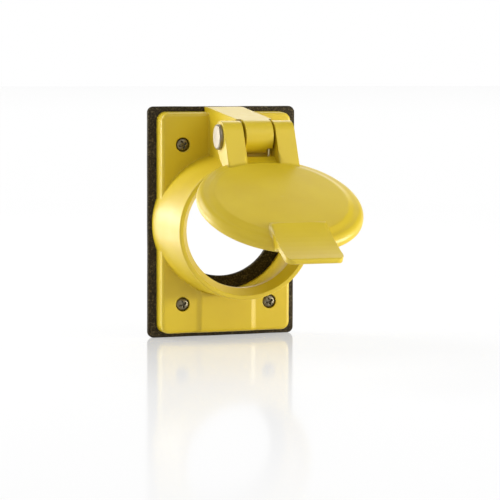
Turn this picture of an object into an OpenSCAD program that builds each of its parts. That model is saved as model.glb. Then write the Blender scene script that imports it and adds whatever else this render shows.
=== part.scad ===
// Self-closing weatherproof cover for a round outlet, single gang.
// The frame: the origin is the centre of the round opening on the back of the
// gasket, +X is right, +Z is up, and the front faces -Y.

/* [Gasket] */
// Width of the foam gasket
gasket_w = 76.4; // [70:0.2:84]
// Height of the foam gasket
gasket_h = 116; // [112:0.5:124]
// Thickness of the foam gasket
gasket_t = 3; // [1.5:0.25:5]
// Corner radius of the gasket
gasket_corner_r = 3; // [1:0.5:6]
// Diameter of the round hole in the gasket
gasket_hole_d = 54.4; // [40:0.2:60]

/* [Plate] */
// Width of the moulded plate
plate_w = 67.8; // [62:0.2:72]
// Height of the moulded plate
plate_h = 110.8; // [106:0.2:114]
// Depth of the plate from the gasket to its face
plate_depth = 8.6; // [6:0.1:12]
// Corner radius of the plate
plate_corner_r = 4.5; // [3:0.5:6]
// Rounding of the plate's front edge
plate_edge_r = 1.8; // [0.8:0.1:2.4]
// Lean of the plate's side walls over their depth
plate_draft = 0.4; // [0.1:0.1:0.8]
// Wall thickness of the plate and of the hollow bracket
plate_wall = 2.6; // [1.8:0.1:3.2]
// Height of the plate's centre above the centre of the opening
plate_rise = 0.45; // [0:0.05:1]
// Width of the finger recess below the opening
recess_w = 27.4; // [20:0.2:32]
// Depth of the finger recess
recess_depth = 1.4; // [0.6:0.1:1.6]
// Width of the slope at each side of the finger recess
recess_slope = 1.2; // [0.4:0.2:2.4]

/* [Collar] */
// Length of the collar from the gasket to the front of the rim
collar_len = 44.2; // [36:0.1:46]
// Outer radius of the collar at the gasket
collar_foot_r = 36.3; // [35:0.1:37.6]
// Outer radius of the collar at the rim
collar_rim_r = 33.8; // [33.2:0.1:34.4]
// Wall thickness of the collar
collar_wall = 2.3; // [1.6:0.1:2.6]
// Radius of the mouth at the front of the rim
mouth_r = 31.7; // [30:0.1:32.2]
// Radius of the throat behind the mouth
throat_r = 28.6; // [26:0.1:29]
// Distance from the rim back to the throat
throat_back = 6.2; // [3:0.1:9]
// Length of the throat
throat_len = 3; // [1.5:0.1:6]
// Rounding of the rim's outer edge
rim_edge_r = 0.7; // [0.3:0.1:1.2]

/* [Hinge] */
// Distance of the hinge axis in front of the wall
hinge_out = 59.4; // [58.6:0.1:62]
// Height of the hinge axis above the centre of the opening
hinge_up = 45.8; // [45:0.1:48]
// Radius of the bracket's knuckle
knuckle_r = 8; // [7.2:0.1:8.6]
// Width of the knuckle
knuckle_w = 13.3; // [11:0.1:14.6]
// Width of the bracket at the plate
bracket_w = 18.6; // [17:0.2:24]
// Width of the bracket where the knuckle begins
bracket_front_w = 17.4; // [15.6:0.2:20]
// Height of the bracket's flat top above the centre of the opening
bracket_top = 58.2; // [57:0.1:60]
// Distance from the wall to where the bracket's top starts to slope
bracket_flat = 8.5; // [6:0.5:14]
// Gap between the bracket and the ears that turn in it
ear_clearance = 0.7; // [0.4:0.1:1.2]
// Diameter of the hinge pin
pin_d = 5; // [4:0.1:6]
// Diameter of the pin's head
pin_head_d = 12; // [9:0.5:14]
// Thickness of the pin's head
pin_head_t = 1.9; // [1:0.1:3]
// Radial clearance of the pin in the knuckle
pin_running_clearance = 0.08; // [0.03:0.01:0.1]
// Radial clearance of the pin in the ears
pin_ear_clearance = 0.03; // [0.02:0.01:0.05]
// Outer diameter of the push nut on the pin's far end
push_nut_d = 10.5; // [8:0.5:13]
// Thickness of the push nut's rim
push_nut_t = 0.8; // [0.6:0.1:1.4]

/* [Spring] */
// Diameter of the spring wire
wire_d = 1.2; // [0.8:0.1:1.4]
// Radius of the coil to the middle of the wire
coil_r = 4.5; // [3.9:0.1:4.8]
// Number of turns in the coil
coil_turns = 5; // [3:1:6]
// Wall left between the spring bore and the knuckle's left face
bore_floor = 2.8; // [2:0.1:4]
// Clearance round the coil in the knuckle's bore
coil_clearance = 0.7; // [0.4:0.1:0.9]

/* [Lid] */
// Angle by which the lid stands open, as seen in the photograph
open_angle = 63.3; // [0:0.1:115]
// Radius of the lid
lid_r = 38.4; // [37:0.1:40]
// Distance of the lid's centre below the centre of the opening
lid_drop = 2.4; // [1:0.1:3]
// Gap between the collar's rim and the back of the closed lid
lid_gap = 1.8; // [1:0.1:3]
// Height of the lid's flat centre above its back
lid_h = 6.3; // [5.6:0.1:8]
// Radius of the lid's flat centre
plateau_r = 31; // [28:0.1:32]
// Rise of the lid's crown over its flat centre
crown_rise = 0.5; // [0.2:0.1:1]
// Drop from the flat centre to the raised edge's foot
shoulder_drop = 1.3; // [0.6:0.1:1.6]
// Rounding of the lid's outer edge
lid_edge_r = 3.6; // [2:0.1:4]
// Wall thickness of the lid
lid_wall = 2.6; // [2:0.1:3]

/* [Ears] */
// Width of each ear
ear_w = 9.4; // [7:0.1:12]
// Gap between the two ears
ear_gap = 15.8; // [15:0.1:19]
// Radius of the ears round the pin
ear_r = 7.6; // [6.6:0.1:8]
// Lean of the ears' front face when the lid is closed
ear_lean = 37; // [32:1:42]
// Height of the ears' heel above the lid's edge
ear_heel = 4.4; // [3:0.1:5]
// Radius of the hollow that the web between the ears leaves round the knuckle
web_r = 10.8; // [10:0.1:11.6]

/* [Tab] */
// Width of the lifting tab
tab_w = 26.4; // [18:0.2:32]
// Distance from the lid's centre to the inner end of the tab
tab_in = 25; // [20:0.5:28]
// Distance from the lid's edge to the outer end of the tab
tab_reach = 17.2; // [10:0.2:20]
// Height of the tab's top above the lid's back
tab_h = 8.3; // [7.6:0.1:9.6]
// Dip of the tab's top between its ends
tab_dip = 1.1; // [0.1:0.1:1.4]
// Thickness of the tab
tab_t = 2.6; // [2:0.1:3.4]
// Corner radius of the tab's outer end
tab_corner_r = 4.5; // [1:0.5:6]

/* [Lid seal] */
// Outer radius of the lid's seal
seal_r = 34.4; // [33.4:0.1:34.8]
// Inner radius of the lid's seal
seal_in_r = 28.6; // [27:0.1:29.6]
// Depth of the seal's seat in the lid
seal_seat = 1.4; // [0.8:0.1:1.8]
// Gap between the closed seal and the rim before it is pressed
seal_gap = 0.3; // [0.1:0.1:0.6]

/* [Screws] */
// Distance between the two columns of screws
screw_pitch_x = 45.2; // [43:0.1:49]
// Distance between the two rows of screws
screw_pitch_z = 79.6; // [76:0.1:84]
// Diameter of the screw's threaded end
screw_d = 3.5; // [3:0.1:4]
// Diameter of the screw head
screw_head_d = 6.6; // [6:0.1:8]
// Height of the screw head
screw_head_h = 2.3; // [1.6:0.1:3]
// Diameter of the thinner neck that keeps the screw in the plate
screw_neck_d = 3; // [2.4:0.1:3.4]
// Length of the screw behind the gasket
screw_reach = 12; // [5:0.5:16]
// Radial clearance of the screws in their holes
screw_clearance = 0.3; // [0.2:0.05:0.6]
// Depth of the counterbore that takes each screw head
screw_sink = 2.2; // [1:0.1:3.2]

/* [Hidden] */
$fn = 96;
small_fn = 48;

eps = 0.01;
face_overlap = 1;
arc_steps = 6;
edge_steps = 9;
turn_step = 15;
plate_face = gasket_t + plate_depth;
rim_out = gasket_t + collar_len;
lid_back = rim_out + lid_gap;
lid_z = -lid_drop;
hinge = [-hinge_out, hinge_up];
ear_x = ear_gap / 2;
ear_end_x = ear_x + ear_w;
ear_back_step = 0.6;
ear_toe_depth = 2;
web_sink = 0.3;
lid_heel_out = lid_back + ear_back_step;
shoulder_h = lid_h - shoulder_drop;
lid_lip = 0.5;
spring_bore_r = coil_r + wire_d / 2 + coil_clearance;
spring_bore_end = -knuckle_w / 2 + bore_floor;
coil_end_gap = 0.2;
leg_side_gap = 0.7;
coil_start_x = spring_bore_end + wire_d / 2 + coil_end_gap;
coil_end_x = knuckle_w / 2 - wire_d / 2 - leg_side_gap;
leg_gap = 0.3;
leg_end_z = -sqrt(pow(web_r - leg_gap, 2) - pow(coil_r + wire_d / 2, 2));
tail_end_z = -coil_r - wire_d / 2;
coil_steps = 20;
wire_sides = 8;
boss_wall = 1.5;
inner_corner_r = 3;
seal_side_gap = 0.1;
cap_lip = 0.6;
gusset_h = 1.6;
gusset_in = 3;
pin_seat = 0.05;
pin_point = 0.5;
pin_past_nut = 0.5;
head_land = 0.55;
nut_seat = 0.1;
nut_clearance = 0.3;
nut_pocket_depth = nut_seat + 2 * push_nut_t + pin_past_nut + pin_point;
nut_x = ear_end_x - nut_pocket_depth + nut_seat;
nut_dish_w = 1.2;
nut_rim_w = 1;
nut_dish = 0.4;
cross_w = 1.1;
cross_reach = 0.6;
screw_land = 0.35;
screw_neck_past = 1;
screw_turn = 20;

// Points of an arc from angle a0 to a1, both ends included.
function arc(c, r, a0, a1, n = arc_steps) =
    [for (i = [0 : n]) c + r * [cos(a0 + (a1 - a0) * i / n), sin(a0 + (a1 - a0) * i / n)]];

// Point where a line from p touches the circle, on the side given by turn.
function touch(c, r, p, turn) =
    let (v = p - c, base = atan2(v[1], v[0]), a = acos(r / norm(v)))
    c + r * [cos(base + turn * a), sin(base + turn * a)];

// Side-view point of the closed lid: r below its centre, h above its back.
function on_lid(r, h) = [-(lid_back + h), lid_z - r];

// Draws children, made upwards on the XY plane, outwards from the wall.
module outward(from = 0) {
    rotate([90, 0, 0]) translate([0, 0, from]) children();
}

// Extrudes a side view, given as Y and Z, between two places along X.
module across(x0, x1) {
    rotate([90, 0, 90]) translate([0, 0, x0]) linear_extrude(x1 - x0) children();
}

// Round bar along X through the hinge axis.
module hinge_bar(r, x0, x1) {
    translate([x0, hinge[0], hinge[1]]) rotate([0, 90, 0]) cylinder(r = r, h = x1 - x0);
}

// Turns children about the hinge axis, from closed to the open angle.
module opened() {
    translate([0, hinge[0], hinge[1]]) rotate([-open_angle, 0, 0])
        translate([0, -hinge[0], -hinge[1]]) children();
}

module rounded_sheet(w, h, r) {
    square([w - 2 * r, h], center = true);
    square([w, h - 2 * r], center = true);
    for (sx = [-1, 1], sy = [-1, 1])
        translate([sx * (w / 2 - r), sy * (h / 2 - r)]) circle(r = r, $fn = small_fn);
}

module at_screws() {
    for (sx = [-1, 1], sz = [-1, 1])
        translate([sx * screw_pitch_x / 2, sz * screw_pitch_z / 2, 0]) children();
}

// Half section of the plate's edge, from the corner's centre outwards.
function plate_edge() = concat(
    [[0, 0], [plate_corner_r, 0]],
    arc([plate_corner_r - plate_draft - plate_edge_r, plate_depth - plate_edge_r],
        plate_edge_r, 0, 90),
    [[0, plate_depth]]);

module plate_block() {
    half_w = plate_w / 2 - plate_corner_r;
    half_h = plate_h / 2 - plate_corner_r;
    for (sx = [-1, 1], sz = [-1, 1])
        translate([sx * half_w, sz * half_h, 0]) rotate_extrude($fn = small_fn) polygon(plate_edge());
    for (s = [0, 1]) {
        rotate([0, 0, 180 * s]) {
            rotate([90, 0, 0]) translate([half_w, 0, -half_h]) linear_extrude(2 * half_h)
                polygon(plate_edge());
            rotate([90, 0, 90]) translate([half_h, 0, -half_w]) linear_extrude(2 * half_w)
                polygon(plate_edge());
        }
    }
    translate([-half_w, -half_h, 0]) cube([2 * half_w, 2 * half_h, plate_depth]);
}

// Section of the solid collar, a cone with a rounded rim.
module collar_cone() {
    polygon(concat(
        [[0, 0], [collar_foot_r, 0]],
        arc([collar_rim_r - rim_edge_r, collar_len - rim_edge_r], rim_edge_r, 0, 90),
        [[0, collar_len]]));
}

// Section of the space inside the collar, with the funnel and the throat.
module collar_bore() {
    front_r = collar_rim_r - collar_wall;
    throat_front = collar_len - throat_back;
    throat_end = throat_front - throat_len;
    polygon([[0, -face_overlap], [collar_foot_r - collar_wall, -face_overlap],
             [collar_foot_r - collar_wall, 0], [front_r, throat_end - (front_r - throat_r)],
             [throat_r, throat_end], [throat_r, throat_front], [mouth_r, collar_len],
             [mouth_r, collar_len + face_overlap], [0, collar_len + face_overlap]]);
}

// Side view of the bracket from the gasket to the knuckle.
module bracket_side() {
    top_end = touch(hinge, knuckle_r, [-bracket_flat, bracket_top], 1);
    under = collar_rim_r - collar_wall;
    web_room_y = -lid_heel_out + ear_clearance;
    difference() {
        polygon([[-gasket_t, under], [-gasket_t, bracket_top], [-bracket_flat, bracket_top],
                 top_end, hinge, [hinge[0], under]]);
        difference() {
            translate([2 * hinge[0], under - face_overlap])
                square([web_room_y - 2 * hinge[0], hinge[1] - under + face_overlap]);
            translate(hinge) circle(r = web_r - ear_clearance);
        }
        translate([-2 * rim_out, under - face_overlap])
            square([rim_out, seal_r + ear_clearance - under + face_overlap]);
    }
    translate(hinge) circle(r = knuckle_r);
}

// Side view of one ear of the closed lid, grown by a clearance.
module ear_side(grow = 0) {
    r = ear_r + grow;
    n = [-cos(ear_lean), -sin(ear_lean)];
    d = [sin(ear_lean), -cos(ear_lean)];
    front = hinge + r * n;
    foot_y = -(lid_back + lid_h - face_overlap);
    foot = front + d * (foot_y - front[0]) / d[0];
    back_y = -lid_heel_out + grow;
    heel = [back_y, lid_z + lid_r + ear_heel + grow];
    toe = [back_y, lid_z + sqrt(pow(lid_r, 2) - pow(ear_end_x, 2)) - ear_toe_depth];
    polygon([hinge, front, foot, toe, heel, touch(hinge, r, heel, 1)]);
    translate(hinge) circle(r = r);
}

// Side view of the web that joins the ears behind the knuckle.
module web_side() {
    top = lid_z + lid_r + ear_heel;
    foot = lid_z + plateau_r;
    front_y = -(lid_back + shoulder_h - web_sink);
    difference() {
        polygon([[-lid_heel_out, foot], [-lid_heel_out, top], [front_y, top], [front_y, foot]]);
        translate(hinge) circle(r = web_r);
    }
}

// Plan of the bracket, narrower towards the front.
module bracket_plan() {
    polygon([[-bracket_w / 2, 0], [bracket_w / 2, 0],
             [bracket_front_w / 2, -hinge_out], [-bracket_front_w / 2, -hinge_out]]);
    square([knuckle_w, 2 * (hinge_out + knuckle_r)], center = true);
}

module bracket() {
    difference() {
        intersection() {
            across(-bracket_w, bracket_w) bracket_side();
            linear_extrude(bracket_top) bracket_plan();
        }
        for (s = [0, 1]) mirror([s, 0, 0]) across(knuckle_w / 2, bracket_w) ear_side(ear_clearance);
    }
}

// Pocket that leaves the bracket an even wall, open to the back.
module bracket_pocket() {
    pocket_w = bracket_front_w - 2 * plate_wall;
    floor_z = collar_foot_r + plate_wall;
    pocket_end = rim_out - 2 * plate_wall;
    drop = (bracket_top - hinge_up - knuckle_r) * (pocket_end - bracket_flat)
         / (hinge_out - bracket_flat);
    across(-pocket_w / 2, pocket_w / 2)
        polygon([[-gasket_t + eps, floor_z], [-gasket_t + eps, bracket_top - plate_wall],
                 [-bracket_flat, bracket_top - plate_wall],
                 [-pocket_end, bracket_top - plate_wall - drop], [-pocket_end, floor_z]]);
}

// Hollow behind the plate's face, with the screw bosses left standing.
module plate_hollow() {
    outward(gasket_t - eps) linear_extrude(plate_depth - plate_wall + eps) difference() {
        translate([0, plate_rise]) rounded_sheet(plate_w - 2 * (plate_wall + plate_draft),
            plate_h - 2 * (plate_wall + plate_draft), inner_corner_r);
        at_screws() circle(r = screw_head_d / 2 + boss_wall, $fn = small_fn);
        translate([-bracket_w / 2, 0]) square([bracket_w, bracket_top]);
    }
}

// Finger recess in the plate's face, from the collar down past the edge.
module finger_recess() {
    top_w = recess_w / 2;
    floor_w = top_w - recess_slope;
    length = plate_h / 2 + face_overlap;
    translate([0, 0, -length]) linear_extrude(length)
        polygon([[-top_w - recess_slope, -plate_face - recess_depth],
                 [-floor_w, -plate_face + recess_depth], [floor_w, -plate_face + recess_depth],
                 [top_w + recess_slope, -plate_face - recess_depth]]);
}

// Slots in the knuckle for the spring's leg and for its tail.
module spring_slots() {
    leg_w = wire_d + 2 * coil_clearance;
    tail_w = wire_d + 2 * coil_end_gap;
    translate([coil_end_x - leg_w / 2, hinge[0] - coil_r - leg_w / 2, hinge[1] - 2 * knuckle_r])
        cube([knuckle_w, leg_w, 2 * knuckle_r]);
    translate([spring_bore_end, hinge[0] + coil_r - tail_w / 2, hinge[1] + tail_end_z - coil_end_gap])
        cube([tail_w, tail_w, -tail_end_z]);
}

module cover_plate() {
    screw_hole_r = screw_d / 2 + screw_clearance;
    color("gold") difference() {
        union() {
            difference() {
                outward(gasket_t) translate([0, plate_rise, 0]) plate_block();
                finger_recess();
                plate_hollow();
            }
            outward(gasket_t) rotate_extrude() collar_cone();
            bracket();
        }
        outward(gasket_t) rotate_extrude() collar_bore();
        bracket_pocket();
        hinge_bar(pin_d / 2 + pin_running_clearance, -knuckle_w, knuckle_w);
        hinge_bar(spring_bore_r, spring_bore_end, knuckle_w);
        spring_slots();
        outward(0) at_screws() cylinder(r = screw_hole_r, h = 2 * plate_face, $fn = small_fn);
        outward(plate_face - screw_sink) at_screws()
            cylinder(r = screw_head_d / 2 + screw_clearance, h = plate_depth, $fn = small_fn);
    }
}

module plate_gasket() {
    color("dimgray") outward() linear_extrude(gasket_t) difference() {
        translate([0, plate_rise]) rounded_sheet(gasket_w, gasket_h, gasket_corner_r);
        circle(d = gasket_hole_d);
        at_screws() circle(r = screw_d / 2 + screw_clearance, $fn = small_fn);
    }
}

// Outline of the lid's disc, radius by height above its back.
module lid_section() {
    crown_n = 6;
    slope_w = lid_r - lid_edge_r - plateau_r;
    polygon(concat(
        [for (i = [0 : crown_n]) [plateau_r * i / crown_n,
                                  lid_h + crown_rise * (1 - pow(i / crown_n, 2))]],
        [for (i = [1 : crown_n - 1]) [plateau_r + slope_w * i / crown_n,
                                      shoulder_h + shoulder_drop * pow(1 - i / crown_n, 2)]],
        arc([lid_r - lid_edge_r, shoulder_h - lid_edge_r], lid_edge_r, 90, 0, edge_steps),
        [[lid_r, lid_lip], [lid_r - lid_lip, 0], [0, 0]]));
}

// Side view of the tab, with its dished top and the gusset under it.
module tab_side() {
    tab_out = lid_r + tab_reach;
    end_r = tab_t / 2;
    n = 8;
    mid = (tab_in + tab_out) / 2;
    half = (tab_out - tab_in) / 2;
    function dish(r) = tab_h - tab_dip * (1 - pow((r - mid) / half, 2));
    last = tab_out - end_r;
    polygon(concat(
        [on_lid(tab_in, lid_h - face_overlap)],
        [for (i = [0 : n]) let (r = tab_in + (last - tab_in) * i / n) on_lid(r, dish(r))],
        [for (a = [90 - turn_step : -turn_step : -90])
            on_lid(last + end_r * cos(a), dish(last) - end_r + end_r * sin(a))],
        [for (i = [n : -1 : n / 2]) let (r = tab_in + (last - tab_in) * i / n)
            on_lid(max(r, lid_r + tab_t), dish(max(r, lid_r + tab_t)) - tab_t)],
        [on_lid(lid_r - lid_lip, gusset_h), on_lid(lid_r - gusset_in, gusset_h)]));
}

module tab_plan() {
    length = lid_r + tab_reach;
    half_w = tab_w / 2;
    translate([-half_w, -length + tab_corner_r]) square([tab_w, length]);
    translate([-half_w + tab_corner_r, -length]) square([tab_w - 2 * tab_corner_r, length]);
    for (s = [-1, 1])
        translate([s * (half_w - tab_corner_r), -length + tab_corner_r])
            circle(r = tab_corner_r, $fn = small_fn);
}

// Pocket in the right ear that takes the push nut.
module nut_pocket() {
    hinge_bar(push_nut_d / 2 + nut_clearance, ear_end_x - nut_pocket_depth, 2 * ear_end_x);
}

module flap_lid() {
    color("gold") opened() difference() {
        union() {
            outward(lid_back) translate([0, lid_z, 0]) rotate_extrude() lid_section();
            for (s = [0, 1]) mirror([s, 0, 0]) across(ear_x, ear_end_x) ear_side();
            across(-ear_x - face_overlap, ear_x + face_overlap) web_side();
            intersection() {
                across(-tab_w, tab_w) tab_side();
                outward(0) translate([0, lid_z, 0]) linear_extrude(2 * lid_back) tab_plan();
            }
        }
        outward(lid_back - face_overlap)
            cylinder(r = seal_r + seal_side_gap, h = seal_seat + face_overlap);
        outward(lid_back - face_overlap)
            cylinder(r = seal_in_r - cap_lip, h = lid_h - lid_wall + face_overlap);
        hinge_bar(pin_d / 2 + pin_ear_clearance, -2 * ear_end_x, 2 * ear_end_x);
        nut_pocket();
    }
}

module lid_seal() {
    color("black") opened() outward(rim_out + seal_gap) difference() {
        cylinder(r = seal_r, h = lid_gap - seal_gap + seal_seat);
        translate([0, 0, -face_overlap])
            cylinder(r = seal_in_r, h = lid_gap + seal_seat + 2 * face_overlap);
    }
}

module hinge_pin() {
    head_x = -ear_end_x - pin_seat;
    tip_x = nut_x + 2 * push_nut_t + pin_past_nut;
    land = pin_head_t * head_land;
    edge_r = pin_head_t - land;
    color("silver") opened() {
        translate([head_x, hinge[0], hinge[1]]) rotate([0, -90, 0]) rotate_extrude()
            polygon(concat([[0, 0], [pin_head_d / 2, 0]],
                arc([pin_head_d / 2 - edge_r, land], edge_r, 0, 90),
                [[0, pin_head_t]]));
        hinge_bar(pin_d / 2, head_x - eps, tip_x);
        translate([tip_x - eps, hinge[0], hinge[1]]) rotate([0, 90, 0])
            cylinder(r1 = pin_d / 2, r2 = pin_d / 2 - pin_point, h = pin_point);
    }
}

module pin_push_nut() {
    in_r = pin_d / 2 + pin_ear_clearance;
    dish_r = in_r + nut_dish_w;
    rim_r = push_nut_d / 2;
    color("gray") opened() translate([nut_x, hinge[0], hinge[1]]) rotate([0, 90, 0])
        rotate_extrude() polygon([
            [in_r, push_nut_t], [dish_r, push_nut_t * nut_dish],
            [rim_r - nut_rim_w, 0], [rim_r, 0], [rim_r, push_nut_t],
            [rim_r - nut_rim_w, push_nut_t], [dish_r, push_nut_t * (1 + nut_dish)],
            [in_r, push_nut_t * 2]]);
}

// Middle line of the spring wire round the axis: a tail, the coil, then the leg.
function spring_path() = concat(
    [[coil_start_x, coil_r, tail_end_z], [coil_start_x, coil_r, tail_end_z / 2]],
    [for (i = [0 : coil_turns * coil_steps + coil_steps / 2])
        let (a = 360 * i / coil_steps,
             x = coil_start_x + (coil_end_x - coil_start_x) * i / ((coil_turns + 0.5) * coil_steps))
        [x, coil_r * cos(a), coil_r * sin(a)]],
    [[coil_end_x, -coil_r, -coil_r / 2], [coil_end_x, -coil_r, leg_end_z]]);

// Ring of points round a path point, square to the given direction.
function wire_ring(p, dir) =
    let (d = dir / norm(dir), u0 = cross(d, [1, 0, eps]), u = u0 / norm(u0), v = cross(d, u))
    [for (k = [0 : wire_sides - 1])
        p + wire_d / 2 * (u * cos(360 * k / wire_sides) + v * sin(360 * k / wire_sides))];

module torsion_spring() {
    path = spring_path();
    last = len(path) - 1;
    points = [for (i = [0 : last])
        each wire_ring(path[i], path[min(i + 1, last)] - path[max(i - 1, 0)])];
    sides = [for (i = [0 : last - 1], k = [0 : wire_sides - 1])
        let (a = i * wire_sides + k, b = i * wire_sides + (k + 1) % wire_sides)
        [a, a + wire_sides, b + wire_sides, b]];
    start_cap = [[for (k = [0 : wire_sides - 1]) k]];
    end_cap = [[for (k = [wire_sides - 1 : -1 : 0]) last * wire_sides + k]];
    color("silver") translate([0, hinge[0], hinge[1]])
        polyhedron(points, concat(sides, start_cap, end_cap));
}

module screw(sx, sz) {
    head_r = screw_head_d / 2;
    land = screw_head_h * screw_land;
    cross_l = screw_head_d * cross_reach;
    color("dimgray") translate([sx * screw_pitch_x / 2, 0, sz * screw_pitch_z / 2])
    difference() {
        union() {
            outward(plate_face - screw_sink) rotate_extrude($fn = small_fn)
                polygon(concat([[0, 0], [head_r, 0]],
                    [for (a = [0 : turn_step : 90]) [head_r * cos(a), land + (screw_head_h - land) * sin(a)]]));
            outward(-screw_neck_past - face_overlap) cylinder(r = screw_neck_d / 2,
                h = screw_neck_past + face_overlap + plate_face - screw_sink + land, $fn = small_fn);
            outward(-screw_reach)
                cylinder(r = screw_d / 2, h = screw_reach - screw_neck_past, $fn = small_fn);
        }
        for (turn = [screw_turn, screw_turn + 90])
            outward(plate_face - screw_sink + land) rotate([0, 0, turn])
                translate([-cross_l / 2, -cross_w / 2, 0]) cube([cross_l, cross_w, screw_head_h]);
    }
}

cover_plate();
plate_gasket();
flap_lid();
lid_seal();
hinge_pin();
pin_push_nut();
torsion_spring();
screw(-1, 1);  // screw_top_left
screw(1, 1);  // screw_top_right
screw(-1, -1);  // screw_bottom_left
screw(1, -1);  // screw_bottom_right
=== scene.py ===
import bpy
import numpy as np
from mathutils import Matrix, Vector


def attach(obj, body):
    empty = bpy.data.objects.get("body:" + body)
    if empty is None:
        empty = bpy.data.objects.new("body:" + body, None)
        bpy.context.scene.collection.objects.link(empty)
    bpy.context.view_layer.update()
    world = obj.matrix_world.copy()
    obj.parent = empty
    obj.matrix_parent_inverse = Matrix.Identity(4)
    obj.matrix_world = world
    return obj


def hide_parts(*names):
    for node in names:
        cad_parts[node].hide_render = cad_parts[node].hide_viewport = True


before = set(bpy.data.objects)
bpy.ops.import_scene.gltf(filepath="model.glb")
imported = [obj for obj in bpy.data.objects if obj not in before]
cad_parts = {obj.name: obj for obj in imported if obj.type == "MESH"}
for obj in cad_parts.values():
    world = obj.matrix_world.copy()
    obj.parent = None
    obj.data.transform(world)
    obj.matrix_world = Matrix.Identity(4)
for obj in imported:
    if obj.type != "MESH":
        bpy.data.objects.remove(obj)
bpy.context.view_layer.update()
mm = 0.001
print("frame loaded with", len(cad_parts), "nodes")


# Camera, set where the photographer stood

cameraPlace = {
    "place": (-262.0, -908.6, 87.5),  # mm
    "turn": 17.005,  # degrees to the right of straight ahead
    "dip": 6.143,  # degrees below the horizon
    "roll": 0.288,  # degrees
    "lens": 135.13,  # mm on a sensor 36 mm wide
}


def addCamera(p):
    turn, dip, roll = (np.radians(p[k]) for k in ("turn", "dip", "roll"))
    ahead = np.array([np.sin(turn) * np.cos(dip), np.cos(turn) * np.cos(dip), -np.sin(dip)])
    right = np.cross(ahead, [0, 0, 1])
    right /= np.linalg.norm(right)
    up = np.cross(right, ahead)
    right, up = right * np.cos(roll) + up * np.sin(roll), up * np.cos(roll) - right * np.sin(roll)
    data = bpy.data.cameras.new("photoCamera")
    data.lens = p["lens"]
    data.sensor_width = 36
    data.clip_start, data.clip_end = 0.01, 50
    camera = bpy.data.objects.new("photoCamera", data)
    bpy.context.scene.collection.objects.link(camera)
    turned = Matrix([[*row] for row in np.stack([right, up, -ahead], 1)]).to_4x4()
    camera.matrix_world = Matrix.Translation(Vector(p["place"]) * mm) @ turned
    bpy.context.scene.camera = camera


addCamera(cameraPlace)
bpy.context.scene.view_settings.view_transform = "Standard"
print("camera placed")


hinge = np.array([0, -59.4, 45.8])  # mm, as in the part's source
openAngle = 63.3  # degrees that the lid stands open


def opened(points):  # turns closed-lid points about the hinge, up to where the lid stands open
    a = np.radians(openAngle)
    moved = points - hinge
    y = moved[..., 1] * np.cos(a) + moved[..., 2] * np.sin(a)
    z = moved[..., 2] * np.cos(a) - moved[..., 1] * np.sin(a)
    return np.stack([moved[..., 0], y, z], -1) + hinge


# Shader sums written as Python

class Value:  # a socket that can be added, subtracted and multiplied
    def __init__(self, maker, socket):
        self.maker, self.socket = maker, socket

    def sum(self, how, first, second):
        return self.maker.node("ShaderNodeMath", {"operation": how}, {0: first, 1: second}).value(0)

    def __add__(self, other):
        return self.sum("ADD", self, other)

    def __sub__(self, other):
        return self.sum("SUBTRACT", self, other)

    def __rsub__(self, other):
        return self.sum("SUBTRACT", other, self)

    def __mul__(self, other):
        return self.sum("MULTIPLY", self, other)

    __radd__ = __add__
    __rmul__ = __mul__


class MadeNode:  # a node with its outputs as values
    def __init__(self, maker, made):
        self.maker, self.made = maker, made

    def value(self, which=0):
        return Value(self.maker, self.made.outputs[which])


class Finish:  # one material or the world, built node by node
    def __init__(self, owner):
        self.owner = owner
        owner.use_nodes = True
        self.tree = owner.node_tree
        self.tree.nodes.clear()

    def node(self, kind, settings=None, sockets=None):
        made = self.tree.nodes.new(kind)
        for name, setting in (settings or {}).items():
            if name == "stops":
                ramp = made.color_ramp
                while len(ramp.elements) < len(setting):
                    ramp.elements.new(0.5)
                for element, (place, shade) in zip(ramp.elements, setting):
                    element.position, element.color = place, (shade, shade, shade, 1)
            else:
                setattr(made, name, setting)
        for name, given in (sockets or {}).items():
            if isinstance(given, Value):
                self.tree.links.new(given.socket, made.inputs[name])
            else:
                made.inputs[name].default_value = given
        return MadeNode(self, made)

    def blendColour(self, share, first, second):
        return self.node("ShaderNodeMix", {"data_type": "RGBA"}, {0: share, 6: first, 7: second}).value(2)

    def blendShader(self, share, first, second):
        return self.node("ShaderNodeMixShader", None, {0: share, 1: first, 2: second}).value()

    def noise(self, where, size, detail=3.0, rough=0.5, stretch=(1, 1, 1)):  # size of a blotch in metres
        moved = self.node("ShaderNodeMapping", None, {"Vector": where, "Scale": stretch}).value()
        sockets = {"Vector": moved, "Scale": 1 / size, "Detail": detail, "Roughness": rough}
        return self.node("ShaderNodeTexNoise", None, sockets).value(0)

    def ramp(self, source, stops):
        return self.node("ShaderNodeValToRGB", {"stops": stops}, {0: source}).value(0)

    def end(self, shader, kind="ShaderNodeOutputMaterial"):
        self.node(kind, None, {"Surface": shader})
        return self.owner


def shade(red, green, blue):  # sRGB 0 to 255 into the linear colour that sockets take
    part = np.array([red, green, blue]) / 255
    linear = np.where(part <= 0.04045, part / 12.92, ((part + 0.055) / 1.055) ** 2.4)
    return (*linear.tolist(), 1)


def newMaterial(name):
    finish = Finish(bpy.data.materials.new(name))
    where = finish.node("ShaderNodeTexCoord").value(3)
    return finish, where


# Moulded yellow plastic of the plate and the lid

yellowMoulding = {
    "colour": shade(204, 178, 20),
    "deep": shade(198, 170, 14),
    "blotch": 22 * mm,  # patches where the colour deepens
    "roughness": 0.34,  # of the shiniest streaks
    "streak": 0.12,  # how much rougher the dullest ones are
    "flow": 9 * mm,  # streaks, drawn out along the height
    "gloss": 1.56,  # index of refraction of the shiny skin
    "edge": 0.45 * mm,  # how far sharp moulded edges look rounded
    "grain": 0.35 * mm,  # fine texture of the skin
    "grainDepth": 0.012 * mm,
    "wave": 12 * mm,  # slow unevenness of the skin
    "waveDepth": 0.05 * mm,
    "relief": 0.5,
}

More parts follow.
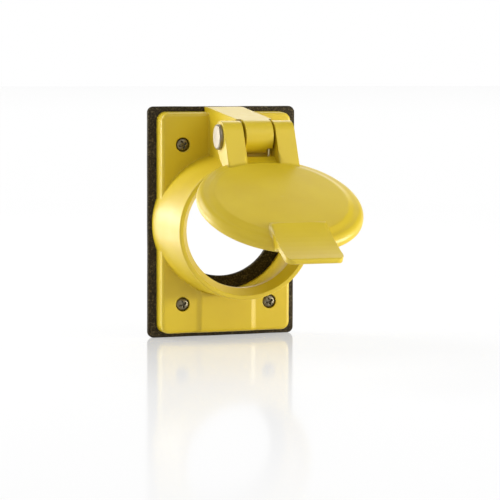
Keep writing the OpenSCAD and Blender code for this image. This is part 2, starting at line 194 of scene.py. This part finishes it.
# The lid's raised middle ends in a soft step: sharp edges look rounder in a ring about its middle line.
lidStep = {
    "centre": (0, -49.0, -2.4),  # mm, a point on the closed lid's middle line
    "span": 40 * mm,
    "ring": (0.66, 0.76, 0.84, 0.9),  # shares of the span: it starts, is full, starts to fade, ends
    "soft": 2.4 * mm,  # how much further the edges look rounded there
}


def lidMask(f, where, p):
    line = opened(np.array([p["centre"], np.add(p["centre"], (0, -1, 0))], float))
    middle, along = tuple((line[0] * mm).tolist()), tuple((line[1] - line[0]).tolist())
    away = f.node("ShaderNodeVectorMath", {"operation": "SUBTRACT"}, {0: where, 1: middle}).value()
    turned = f.node("ShaderNodeVectorMath", {"operation": "CROSS_PRODUCT"}, {0: away, 1: along}).value()
    radius = f.node("ShaderNodeVectorMath", {"operation": "LENGTH"}, {0: turned}).value(1)
    stops = list(zip(p["ring"], (0, 1, 1, 0)))
    return f.ramp(radius * (1 / p["span"]), stops)


def makeYellow(p, name, step=None):
    f, where = newMaterial(name)
    blotch = f.noise(where, p["blotch"], 4)
    flow = f.noise(where, p["flow"], 3, 0.6, (1, 1, 0.3))
    grain = f.noise(where, p["grain"], 2, 0.6)
    wave = f.noise(where, p["wave"], 1)
    colour = f.blendColour(f.ramp(blotch, [(0.35, 0), (0.7, 1)]), p["colour"], p["deep"])
    reach = p["edge"]
    if step:
        reach = lidMask(f, where, step) * step["soft"] + p["edge"]
    rounded = f.node("ShaderNodeBevel", {"samples": 8}, {"Radius": reach}).value()
    height = grain * (p["grainDepth"] / mm) + wave * (p["waveDepth"] / mm)
    relief = {"Height": height, "Distance": mm, "Strength": p["relief"], "Normal": rounded}
    bump = f.node("ShaderNodeBump", None, relief)
    plastic = f.node("ShaderNodeBsdfPrincipled", None, {
        "Base Color": colour,
        "Roughness": flow * p["streak"] + p["roughness"],
        "IOR": p["gloss"],
        "Normal": bump.value(),
    })
    return f.end(plastic.value())


# Dark foam of the gasket and dark rubber of the lid's seal

foam = {
    "colour": shade(58, 50, 33),
    "pit": shade(14, 11, 8),
    "bright": shade(112, 100, 72),
    "brightShare": 0.7,
    "cell": 0.8 * mm,
    "crumb": 0.9 * mm,
    "speck": 1.6 * mm,
    "depth": 0.12 * mm,
    "relief": 0.7,
    "roughness": 0.92,
    "shine": 0.25,
}
rubber = {
    "colour": shade(38, 36, 34),
    "bloomed": shade(58, 56, 54),
    "bloom": 6 * mm,  # pale patches
    "bloomShare": 0.5,
    "bloomDull": 0.2,  # how much rougher the patches are
    "grain": 0.3 * mm,
    "depth": 0.02 * mm,
    "relief": 0.6,
    "roughness": 0.5,
}


def makeFoam(p):
    f, where = newMaterial("gasketFoam")
    voronoi = {"Vector": where, "Scale": 1 / p["cell"]}
    cell = f.node("ShaderNodeTexVoronoi", {"feature": "SMOOTH_F1"}, voronoi).value(0)
    speck = f.noise(where, p["speck"], 3)
    pits = f.ramp(cell, [(0.15, 0), (0.6, 1)])
    crumbs = f.ramp(f.noise(where, p["crumb"], 2, 0.6), [(0.52, 0), (0.66, 1)])
    mottled = f.blendColour(crumbs * p["brightShare"], p["colour"], p["bright"])
    colour = f.blendColour(pits * speck, mottled, p["pit"])
    relief = {"Height": cell + speck, "Distance": p["depth"], "Strength": p["relief"]}
    bump = f.node("ShaderNodeBump", {"invert": True}, relief)
    soft = f.node("ShaderNodeBsdfPrincipled", None, {
        "Base Color": colour,
        "Roughness": p["roughness"],
        "Specular IOR Level": p["shine"],
        "Normal": bump.value(),
    })
    return f.end(soft.value())


def makeRubber(p):
    f, where = newMaterial("sealRubber")
    bloom = f.noise(where, p["bloom"], 4)
    grain = f.noise(where, p["grain"], 2)
    colour = f.blendColour(bloom * p["bloomShare"], p["colour"], p["bloomed"])
    relief = {"Height": grain, "Distance": p["depth"], "Strength": p["relief"]}
    bump = f.node("ShaderNodeBump", None, relief)
    soft = f.node("ShaderNodeBsdfPrincipled", None, {
        "Base Color": colour,
        "Roughness": bloom * p["bloomDull"] + p["roughness"],
        "Normal": bump.value(),
    })
    return f.end(soft.value())


# Metal of the pin, the spring and the screws. The roughness is that of the shiniest scratches.

pinSteel = {"colour": shade(146, 137, 118), "roughness": 0.26, "scratch": 0.5 * mm}
wireSteel = {"colour": shade(208, 198, 160), "roughness": 0.3, "scratch": 0.3 * mm}
screwSteel = {"colour": shade(120, 112, 92), "roughness": 0.34, "scratch": 0.4 * mm}
metalWear = {"stain": 3 * mm, "stained": 0.72, "dull": 0.16, "depth": 0.02 * mm, "relief": 0.5}


def makeMetal(name, p, wear):
    f, where = newMaterial(name)
    stain = f.noise(where, wear["stain"], 4)
    scratch = f.noise(where, p["scratch"], 4, 0.7, (1, 0.12, 1))
    dark = tuple(wear["stained"] * c for c in p["colour"][:3]) + (1,)
    colour = f.blendColour(f.ramp(stain, [(0.4, 0), (0.8, 1)]), p["colour"], dark)
    relief = {"Height": scratch, "Distance": wear["depth"], "Strength": wear["relief"]}
    bump = f.node("ShaderNodeBump", None, relief)
    metal = f.node("ShaderNodeBsdfPrincipled", None, {
        "Base Color": colour,
        "Metallic": 1.0,
        "Roughness": scratch * wear["dull"] + p["roughness"],
        "Normal": bump.value(),
    })
    return f.end(metal.value())


yellow = makeYellow(yellowMoulding, "yellowMoulding")
lidYellow = makeYellow(yellowMoulding, "yellowLid", lidStep)
foamLook = makeFoam(foam)
rubberLook = makeRubber(rubber)
pinLook = makeMetal("pinSteel", pinSteel, metalWear)
wireLook = makeMetal("wireSteel", wireSteel, metalWear)
screwLook = makeMetal("screwSteel", screwSteel, metalWear)

nodeLooks = {
    "cover_plate": yellow, "flap_lid": lidYellow, "plate_gasket": foamLook, "lid_seal": rubberLook,
    "hinge_pin": pinLook, "pin_push_nut": pinLook, "torsion_spring": wireLook,
    "screw_top_left": screwLook, "screw_top_right": screwLook,
    "screw_bottom_left": screwLook, "screw_bottom_right": screwLook,
}
for name, look in nodeLooks.items():
    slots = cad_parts[name].data.materials
    slots.clear()
    slots.append(look)
print("finishes made")


# Surfaces on a grid

# A grid of points, rows by columns, becomes quads. Columns close on themselves, and rows too if asked.
# Flip is for grids that run the other way round, so that the faces of every piece point outwards.
def gridPiece(name, points, look, body, closeRows=False, flip=False):
    rows, columns = points.shape[:2]
    index = np.arange(rows * columns).reshape(rows, columns)
    after = np.roll(index, -1, 1)
    lower = (index, after) if closeRows else (index[:-1], after[:-1])
    upper = (np.roll(index, -1, 0), np.roll(after, -1, 0)) if closeRows else (index[1:], after[1:])
    faces = np.stack([lower[0], lower[1], upper[1], upper[0]], -1).reshape(-1, 4)
    if not flip:
        faces = faces[:, ::-1]
    mesh = bpy.data.meshes.new(name)
    mesh.from_pydata((points.reshape(-1, 3) * mm).tolist(), [], faces.tolist())
    piece = bpy.data.objects.new(name, mesh)
    bpy.context.scene.collection.objects.link(piece)
    weld = piece.modifiers.new("closePoles", "WELD")
    weld.merge_threshold = 1e-6
    mesh.shade_smooth()
    mesh.materials.append(look)
    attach(piece, body)
    return piece


# Foam gasket. Along: the rounded rectangle's outline. Across: a flat section between the
# round hole and the outline, with both edges rounded and the outer one a little uneven.

gasketSheet = {
    "width": 76.4, "height": 116, "thick": 3.0, "corner": 3.0, "edge": 0.5,  # mm
    "hole": 27.2,  # radius
    "rise": 0.45,  # how far its middle lies above the hole's
    "uneven": 0.12,  # how far its cut edge wanders inwards
}


def roundedOutline(width, height, corner, straight=40, turn=10):
    sides = []
    for k, (sx, sz) in enumerate([(1, 1), (-1, 1), (-1, -1), (1, -1)]):
        a = np.radians(90 * k + np.linspace(0, 90, turn))
        centre = np.array([sx * (width / 2 - corner), sz * (height / 2 - corner)])
        sides.append(centre + corner * np.stack([np.cos(a), np.sin(a)], -1))
    run = []
    for k in range(4):
        start, end = sides[k][-1], sides[(k + 1) % 4][0]
        t = np.linspace(0, 1, straight + 2)[1:-1, None]
        run += [sides[k], start + (end - start) * t]
    return np.concatenate(run)


def gasketPoints(p):
    outline = roundedOutline(p["width"], p["height"], p["corner"])
    u = np.arange(len(outline)) / len(outline) * 2 * np.pi
    outer = outline + [0, p["rise"]]
    inner = p["hole"] * outer / np.linalg.norm(outer, axis=1)[:, None]
    span = np.linalg.norm(outer - inner, axis=1)
    way = (outer - inner) / span[:, None]
    span = span - p["uneven"] * (0.5 + 0.25 * np.sin(7 * u + 1) + 0.25 * np.sin(17 * u))
    e, t = p["edge"], p["thick"]
    a = np.linspace(0, np.pi / 2, 5)
    # From the back face round the hole's edge
    inward = np.concatenate([e - e * np.sin(a), e - e * np.cos(a)])
    depthIn = np.concatenate([e - e * np.cos(a), t - e + e * np.sin(a)])
    outward = -inward[::-1]
    reach = np.concatenate([np.tile(inward[:, None], (1, len(span))), span + outward[:, None]])
    depth = np.concatenate([depthIn, depthIn[::-1]])[:, None] + 0 * reach
    flat = inner + way * reach[..., None]
    return np.stack([flat[..., 0], -depth, flat[..., 1]], -1)


gasketPlace = gasketPoints(gasketSheet)
gasketPiece = gridPiece("gasketFoamSheet", gasketPlace, foamLook, "base", closeRows=True)
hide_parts("plate_gasket")
print("gasket made")


# Raised pad below the collar. Across: a flat top whose sides fall to the plate's face in two joined
# parabolas. Along: from the plate's lower side round its lower edge and up into the collar's wall.

padShape = {
    "top": 12.5,  # mm from the middle to where the flat top ends
    "foot": 16.0,  # mm from the middle to where the sides meet the plate's face
    "rise": 1.1,
    "bend": 0.4,  # share of the side that bends outwards, before it bends in to the foot
    "lean": 0.085,  # how far the lower end leans back for each mm of rise
    "sink": 0.012,  # how far the foot dips into the plate's face
    "under": 0.3,  # how far its hidden back lies under the plate's face
    "proud": 0.02,  # how far the lower end stands off the plate's side
    "face": 11.6, "back": 3.0, "half": 55.4, "middle": 0.45, "draft": 0.0588, "edge": 1.8,  # the plate
    "wrap": 4.0,  # mm in front of the plate's back, where it starts on the lower side
    "collar": 35.0,  # radius in the collar's wall where the pad ends
}


def padSection(p, x, front, out):  # the plate's own side, rounded edge and face, carried to this front
    start = front - p["back"] - p["edge"]
    d = np.array([0, 0.5, 1])[:, None] * (start - p["wrap"]) + p["wrap"]
    sideZ = p["middle"] - p["half"] + p["draft"] * d - out
    a = np.linspace(0, np.pi / 2, 9)[1:, None]
    leaning = p["lean"] * np.clip(front - p["face"], 0, None)
    edgeZ = sideZ[-1] + p["edge"] * (1 - np.cos(a)) + leaning
    edgeD = start + p["edge"] * np.sin(a)
    top = -np.sqrt(p["collar"] ** 2 - x ** 2)
    t = np.linspace(0, 1, 15)[1:, None]
    faceZ = edgeZ[-1] + (top - edgeZ[-1]) * t
    depth = np.concatenate([d, edgeD, edgeD[-1] + 0 * t]) + p["back"]
    return np.stack([x + 0 * depth, -depth, np.concatenate([sideZ, edgeZ, faceZ])], -1)


def padPoints(p):
    x = np.linspace(-p["foot"], p["foot"], 137)
    t = np.clip((np.abs(x) - p["top"]) / (p["foot"] - p["top"]), 0, 1)
    share = np.where(t < p["bend"], 1 - t ** 2 / p["bend"], (1 - t) ** 2 / (1 - p["bend"]))
    rise = (p["rise"] + p["sink"]) * share - p["sink"]
    skin = padSection(p, x, p["face"] + rise, np.minimum(p["proud"], rise))
    inner = padSection(p, x[::-1], p["face"] - p["under"] + 0 * x, -p["under"] + 0 * x)
    inner[0], inner[-1] = skin[0, ::-1], skin[-1, ::-1]  # both ends close on the skin
    return np.concatenate([skin, inner], 1)


gridPiece("raisedPad", padPoints(padShape), yellow, "base", flip=True)
print("raised pad made")


# Lid seal. Along: the circle of the seal. Across: a soft ring's section, a rounded box
# whose face towards the rim swells in the middle. Depths are from the wall, with the lid closed.

sealRing = {"inner": 28.6, "outer": 34.4, "front": 50.4, "back": 47.5, "edge": 0.45, "swell": 0.15}


def sealPoints(p, around=192):
    a = np.linspace(0, np.pi / 2, 5)
    e, lo, hi = p["edge"], p["inner"], p["outer"]
    s, c = np.sin(a), np.cos(a)
    across = np.linspace(lo + e, hi - e, 11)[1:-1]
    lift = p["swell"] * (1 - ((across - (lo + hi) / 2) / ((hi - lo) / 2)) ** 2)
    radius = np.concatenate([lo + e - e * c, hi - e + e * s, hi - e + e * c, across[::-1], lo + e - e * s])
    front, back = p["front"] - e, p["back"] + p["swell"]
    corners = [front + e * s, front + e * c, back + e - e * s]
    depth = np.concatenate([*corners, back - lift[::-1], back + e - e * c])
    turn = np.arange(around) / around * 2 * np.pi
    x = radius[:, None] * np.cos(turn)
    z = radius[:, None] * np.sin(turn)
    return opened(np.stack([x, -depth[:, None] + 0 * x, z], -1))


sealPlace = sealPoints(sealRing)
sealPiece = gridPiece("lidSealRing", sealPlace, rubberLook, "lid", closeRows=True)
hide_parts("lid_seal")
print("lid seal made")


# Torsion spring. Along: tail, helix round the hinge and straight leg. Across: the wire's circle.

springWire = {
    "wire": 1.2, "coil": 4.5, "turns": 5, "start": -3.05, "end": 5.35, "tail": 5.1, "leg": 9.18,
    "join": 0.6,  # mm from the coil's ends to the nearest points of the straight ends
    "tip": 0.85,  # share of the wire's radius that is left at its cut ends
}


def springPoints(p, steps=36, sides=14):
    half = p["turns"] + 0.5
    a = np.linspace(0, half * 2 * np.pi, int(half * steps) + 1)
    x = p["start"] + (p["end"] - p["start"]) * a / a[-1]
    helix = np.stack([x, p["coil"] * np.cos(a), p["coil"] * np.sin(a)], -1)
    tailZ, legZ = np.linspace(-p["tail"], -p["join"], 6), np.linspace(-p["join"], -p["leg"], 12)
    tail = np.stack([np.full(6, p["start"]), np.full(6, p["coil"]), tailZ], -1)
    leg = np.stack([np.full(12, p["end"]), np.full(12, -p["coil"]), legZ], -1)
    path = np.concatenate([tail, helix, leg])
    ahead = np.gradient(path, axis=0)
    ahead /= np.linalg.norm(ahead, axis=1)[:, None]
    across = np.cross(ahead, [1, 0, 0.01])
    across /= np.linalg.norm(across, axis=1)[:, None]
    other = np.cross(ahead, across)
    radius = np.full(len(path), p["wire"] / 2)
    path = np.concatenate([path[:1], path[:1], path, path[-1:], path[-1:]])
    across, other = (np.concatenate([v[:1], v[:1], v, v[-1:], v[-1:]]) for v in (across, other))
    tip = p["tip"] * radius[0]
    radius = np.concatenate([[0, tip], radius, [tip, 0]])
    t = np.arange(sides) / sides * 2 * np.pi
    ring = across[:, None] * np.cos(t)[:, None] + other[:, None] * np.sin(t)[:, None]
    return path[:, None] + ring * radius[:, None, None] + hinge


springPlace = springPoints(springWire)
springPiece = gridPiece("springWireCoil", springPlace, wireLook, "base", flip=True)
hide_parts("torsion_spring")
print("spring made")


# Screws. Along: from the middle of the head over its dome, down the underside, along the neck and
# the threaded end to the point. Across: the turn. A cross is sunk into the dome. Heights are from
# the wall.

screwShape = {
    "head": 3.3, "dome": 2.3, "land": 0.8, "seat": 9.4, "neck": 1.5, "neckEnd": -1.0, "reach": 12.0,
    "thread": 1.75, "threadDepth": 0.3, "pitch": 1.1, "cross": 2.1, "crossWidth": 0.55, "crossDepth": 1.5,
    "crossWall": 0.1, "crossEnd": 0.6,  # how far the cross's walls and the ends of its arms slant
    "runIn": 0.8, "point": 1.4,  # lengths over which the thread begins and the end narrows
    "turn": 22, "columns": 22.6, "rows": 39.8,
}


def screwPoints(p, x0, z0, around=64):
    turn = np.arange(around) / around * 2 * np.pi
    r = np.concatenate([np.linspace(0, 0.96, 34), [0.985, 1]]) * p["head"]
    top = p["land"] + (p["dome"] - p["land"]) * np.sqrt(np.clip(1 - (r / p["head"]) ** 2, 0, 1))
    a = turn - np.radians(p["turn"])
    u, w = np.abs(r[:, None] * np.cos(a)), np.abs(r[:, None] * np.sin(a))
    long, thin = np.maximum(u, w), np.minimum(u, w)
    taper = p["crossWidth"] * (1.3 - 0.6 * long / p["cross"])
    inside = np.clip((taper - thin) / p["crossWall"], 0, 1)
    inside = inside * np.clip((p["cross"] - long) / p["crossEnd"], 0, 1)
    headH = top[:, None] - inside * p["crossDepth"] + p["seat"]
    headR = r[:, None] + 0 * headH
    neckH = np.linspace(p["seat"], p["neckEnd"], 12)
    h = np.concatenate([neckH, np.linspace(p["neckEnd"], -p["reach"], 150)])
    ridge = 1 - np.abs(2 * np.mod(h[:, None] / p["pitch"] + turn / (2 * np.pi), 1) - 1)
    toPoint = (h + p["reach"]) / p["point"]
    fade = np.clip((p["neckEnd"] - h) / p["runIn"], 0, 1) * np.clip(toPoint, 0.2, 1)
    threadR = p["thread"] - p["threadDepth"] * (1 - ridge)
    shankR = p["neck"] * np.clip(toPoint, 0.5, 1)[:, None]
    shankR = shankR + fade[:, None] * (threadR - p["neck"])
    shankR[-1] = 0
    shankH = h[:, None] + 0 * shankR
    radius, out = np.concatenate([headR, shankR]), np.concatenate([headH, shankH])
    return np.stack([x0 + radius * np.cos(turn), -out, z0 + radius * np.sin(turn)], -1)


for side, sx in (("left", -1), ("right", 1)):
    for level, sz in (("top", 1), ("bottom", -1)):
        place = screwPoints(screwShape, sx * screwShape["columns"], sz * screwShape["rows"])
        corner = level + "_" + side
        screwPiece = gridPiece("screwThreaded_" + corner, place, screwLook, "base")
        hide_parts("screw_" + corner)
print("screws made")


# Floor, backdrop and light

studio = {
    "floor": -57.6,  # mm, just under the gasket
    "floorHalf": 6,  # metres from the middle to the floor's edge
    "floorColour": shade(250, 250, 250),
    "mirror": 0.42,  # how strongly the floor shows the object where it stands
    "mirrorBlur": 0.1,
    "mirrorFades": 450,  # mm in front of the object
    "mirrorStops": [(0, 1), (0.12, 0.7), (0.32, 0.4), (0.66, 0.14), (1, 0)],  # share of that, strength
    "glow": 0.78,  # how white the floor looks near the object whatever falls on it
    "glowStops": [(0.25, 0), (0.9, 1)],  # metres from the object, share of the way to plain white
    "front": 0.74,  # light that comes from the camera's side of the room
    "back": 0.08,
    "backStops": [(0.45, 0), (0.7, 1)],  # from the camera's side, 0, to the back, 1
    "backdrop": 0.92,  # what shiny faces see of the white backdrop on top of that
    "backdropStops": [(0.63, 1), (0.72, 0)],  # from straight down, 0, to straight up, 1
}


def makeFloor(p):
    half, height = p["floorHalf"], p["floor"] * mm
    corners = [(-half, -half, height), (half, -half, height), (half, half, height), (-half, half, height)]
    mesh = bpy.data.meshes.new("studioFloor")
    mesh.from_pydata(corners, [], [(0, 1, 2, 3)])
    floor = bpy.data.objects.new("studioFloor", mesh)
    bpy.context.scene.collection.objects.link(floor)
    f, where = newMaterial("studioFloor")
    y = f.node("ShaderNodeSeparateXYZ", None, {0: where}).value(1)
    distance = f.node("ShaderNodeVectorMath", {"operation": "LENGTH"}, {0: where}).value(1)
    near = f.ramp(y * (-1 / (p["mirrorFades"] * mm)), p["mirrorStops"])
    far = f.ramp(distance, p["glowStops"])
    matt = f.node("ShaderNodeBsdfDiffuse", None, {"Color": p["floorColour"]}).value()
    white = f.node("ShaderNodeEmission", None, {"Color": (1, 1, 1, 1)}).value()
    rays = f.node("ShaderNodeLightPath")
    seen = rays.value(0) + rays.value(3) + rays.value(6)  # camera, glossy and transmission rays
    base = f.blendShader(seen * (far * (1 - p["glow"]) + p["glow"]), matt, white)
    blurred = {"Color": (1, 1, 1, 1), "Roughness": p["mirrorBlur"]}
    mirror = f.node("ShaderNodeBsdfGlossy", None, blurred).value()
    mesh.materials.append(f.end(f.blendShader(near * p["mirror"], base, mirror)))


def makeWorld(p):
    world = bpy.data.worlds.new("studioRoom")
    bpy.context.scene.world = world
    f = Finish(world)
    direction = f.node("ShaderNodeTexCoord").value(0)
    place = f.node("ShaderNodeSeparateXYZ", None, {0: direction})
    behind = f.ramp(place.value(1) * 0.5 + 0.5, p["backStops"])
    low = f.ramp(place.value(2) * 0.5 + 0.5, p["backdropStops"])
    rays = f.node("ShaderNodeLightPath")
    plainRoom = behind * p["back"] + (1 - behind) * p["front"]
    strength = plainRoom + rays.value(3) * behind * low * p["backdrop"]  # backdrop for glossy rays
    room = f.node("ShaderNodeBackground", None, {"Color": (1, 1, 1, 1), "Strength": strength}).value()
    plain = f.node("ShaderNodeBackground", None, {"Color": (1, 1, 1, 1), "Strength": 1.0}).value()
    f.end(f.blendShader(rays.value(0), room, plain), "ShaderNodeOutputWorld")


# Each softbox: turn in degrees right of the front, rise in degrees, size in metres, power in watts
softboxes = {
    "rightFrontHigh": {"turn": 30, "rise": 35, "size": (0.45, 0.45), "power": 0.9},
    "rightLow": {"turn": 60, "rise": 2, "size": (0.45, 0.12), "power": 5.4},
    "leftBackHigh": {"turn": -120, "rise": 35, "size": (0.45, 0.45), "power": 4.5},
    "leftBackLow": {"turn": -120, "rise": 2, "size": (0.45, 0.12), "power": 2.6},
    "backLeftLow": {"turn": -150, "rise": 2, "size": (0.45, 0.12), "power": 0.9},
    "backRightHigh": {"turn": 150, "rise": 35, "size": (0.45, 0.45), "power": 1.6},
    "backHigh": {"turn": 180, "rise": 60, "size": (0.45, 0.45), "power": 0.43},
}
softboxReach = 0.85  # metres from the object


def addSoftbox(name, p):
    data = bpy.data.lights.new(name, "AREA")
    data.shape = "RECTANGLE"
    data.size, data.size_y = p["size"]
    data.energy = p["power"]
    lamp = bpy.data.objects.new(name, data)
    bpy.context.scene.collection.objects.link(lamp)
    turn, rise = np.radians(p["turn"]), np.radians(p["rise"])
    way = Vector((np.sin(turn) * np.cos(rise), -np.cos(turn) * np.cos(rise), np.sin(rise)))
    facing = way.to_track_quat("Z", "Y").to_matrix().to_4x4()
    lamp.matrix_world = Matrix.Translation(way * softboxReach) @ facing


makeFloor(studio)
makeWorld(studio)
for name, box in softboxes.items():
    addSoftbox(name, box)
print("studio ready")

bpy.context.view_layer.update()
